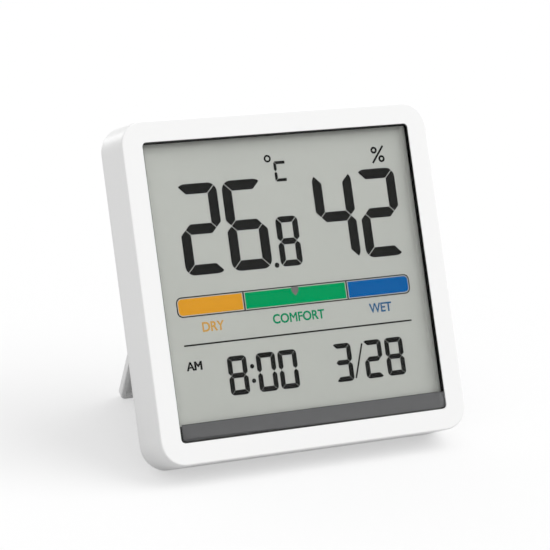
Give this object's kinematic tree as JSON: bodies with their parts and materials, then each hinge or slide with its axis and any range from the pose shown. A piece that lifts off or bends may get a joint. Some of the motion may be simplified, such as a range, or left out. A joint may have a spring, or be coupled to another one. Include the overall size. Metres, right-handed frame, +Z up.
{
  "type": "temperature and humidity sensor",
  "caption": "Square desk thermometer and hygrometer with a segment display behind a flush lens, leaning on a fold-out rear stand, with push buttons and a twist-lock battery hatch.",
  "frame": {"origin": "on the table under the middle of the device as it stands on its open stand", "axes": "+Z up, +X to the right of the display, the display faces -Y and leans back"},
  "size_m": [0.076, 0.0527, 0.0728],
  "materials": {
    "white_plastic": "satin moulded ABS",
    "lens": "clear polished acrylic",
    "mask_print": "dark grey print behind the lens",
    "adhesive": "black glue line",
    "black_plastic": "matt black",
    "lcd_film": "matt grey reflective film",
    "lcd_glass": "polished",
    "elastomer": "silicone",
    "board": "green solder mask",
    "steel": "bright",
    "epoxy": "black epoxy",
    "ceramic": "ceramic body",
    "contact_brass": "sprung sheet"
  },
  "bodies": {
    "case": {"front_housing": "white_plastic", "rear_cover": "white_plastic", "display_lens": "lens", "lens_mask_strip": "mask_print", "lens_adhesive": "adhesive", "lcd_shroud": "black_plastic", "lcd_front_polarizer": "lcd_film", "lcd_front_glass": "lcd_glass", "lcd_rear_glass": "lcd_glass", "lcd_rear_polarizer": "lcd_film", "zebra_connector": "elastomer", "circuit_board": "board", "board_screws": "steel", "controller_chip": "epoxy", "clock_crystal": "steel", "humidity_sensor": "epoxy", "board_components": "ceramic", "tact_switches": "steel", "coin_cell": "steel", "battery_positive_clip": "steel", "battery_negative_spring": "contact_brass"},
    "mode_button": {"mode_button": "white_plastic"},
    "up_button": {"up_button": "white_plastic"},
    "down_button": {"down_button": "white_plastic"},
    "battery_cover": {"battery_cover": "white_plastic"},
    "stand": {"stand": "white_plastic"}
  },
  "joints": [
    {"name": "stand_hinge", "type": "hinge", "parent": "case", "child": "stand", "pos_m": [0, 0.00631, 0.04927], "axis": [1, 0, 0], "range_deg": [-46.5, 0]},
    {"name": "mode_button_press", "type": "slide", "parent": "case", "child": "mode_button", "axis": [0, -0.9046, 0.4262], "range_m": [0, 0.00035], "stiffness_N_per_m": 2000, "springref_m": -0.0003},
    {"name": "up_button_press", "type": "slide", "parent": "case", "child": "up_button", "axis": [0, -0.9046, 0.4262], "range_m": [0, 0.00035], "stiffness_N_per_m": 2000, "springref_m": -0.0003},
    {"name": "down_button_press", "type": "slide", "parent": "case", "child": "down_button", "axis": [0, -0.9046, 0.4262], "range_m": [0, 0.00035], "stiffness_N_per_m": 2000, "springref_m": -0.0003},
    {"name": "hatch_twist", "type": "hinge", "parent": "case", "child": "battery_cover", "pos_m": [0, -0.00624, 0.02534], "axis": [0, 0.9046, -0.4262], "range_deg": [0, 35]}
  ]
}
